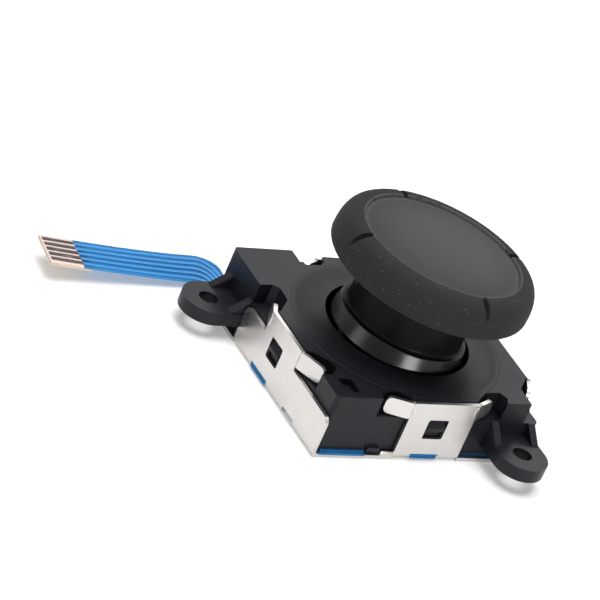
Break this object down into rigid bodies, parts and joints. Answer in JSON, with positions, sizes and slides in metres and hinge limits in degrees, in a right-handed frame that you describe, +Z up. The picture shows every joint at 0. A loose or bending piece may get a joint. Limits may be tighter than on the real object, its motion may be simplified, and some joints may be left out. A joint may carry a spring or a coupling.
{
  "type": "controller analog stick",
  "caption": "Low thumb stick module: rubber cap on a tilting, pressing stem in a plastic case on a bent steel base, with screw ears and a flat printed tail.",
  "frame": {"origin": "on the underside of the steel base plate, below the point where the two tilt axes cross", "axes": "+X to the right along the front wall, towards which the stick leans; +Y back to the wall the printed tail leaves by; +Z up"},
  "size_m": [0.031, 0.027, 0.0133],
  "materials": {
    "case_plastic": "fine moulded satin",
    "stick_plastic": "smooth",
    "cap_rubber": "matt, fine grain",
    "slider_plastic": "natural white",
    "steel": "bright rolled sheet",
    "spring_steel": "bright",
    "bronze": "bright",
    "film": "printed film",
    "stiffener": "plain",
    "contact": "printed carbon over silver",
    "carbon": "printed carbon"
  },
  "bodies": {
    "case": {"base_plate": "steel", "housing": "case_plastic", "flex_circuit": "film", "tail_stiffener": "stiffener", "tail_contact_1": "contact", "tail_contact_2": "contact", "tail_contact_3": "contact", "tail_contact_4": "contact", "tail_contact_5": "contact", "x_carbon_strip": "carbon", "x_collector_strip": "contact", "y_carbon_strip": "carbon", "y_collector_strip": "contact", "click_dome": "spring_steel"},
    "plunger": {"click_plunger": "slider_plastic"},
    "cradle": {"tilt_cradle": "stick_plastic"},
    "stick": {"stick_stem": "stick_plastic", "thumb_cap": "cap_rubber", "pivot_pin": "spring_steel", "pressure_ring": "slider_plastic", "return_spring": "spring_steel"},
    "x_carriage": {"x_slider": "slider_plastic", "x_wiper": "bronze"},
    "y_carriage": {"y_slider": "slider_plastic", "y_wiper": "bronze"}
  },
  "joints": [
    {"name": "press", "type": "slide", "parent": "case", "child": "plunger", "axis": [0, 0, -1], "range_m": [0, 0.00025], "stiffness_N_per_m": 6000, "deforming": ["click_dome"]},
    {"name": "tilt_x", "type": "hinge", "parent": "plunger", "child": "cradle", "pos_m": [0, 0, 0.0038], "axis": [1, 0, 0], "range_deg": [-15, 15], "stiffness_Nm_per_rad": 0.02},
    {"name": "tilt_y", "type": "hinge", "parent": "cradle", "child": "stick", "pos_m": [0, 0, 0.0038], "axis": [0, 1, 0], "range_deg": [-19.5, 10.5], "stiffness_Nm_per_rad": 0.02},
    {"name": "x_slide", "type": "slide", "parent": "case", "child": "x_carriage", "axis": [1, 0, 0], "range_m": [-0.00042, 0.00077]},
    {"name": "y_slide", "type": "slide", "parent": "case", "child": "y_carriage", "axis": [0, 1, 0], "range_m": [-0.00045, 0.00045]}
  ],
  "couplings": [
    {"joint": "x_slide", "follows": "tilt_y", "m_per_rad": -0.0022},
    {"joint": "y_slide", "follows": "tilt_x", "m_per_rad": 0.00163}
  ]
}
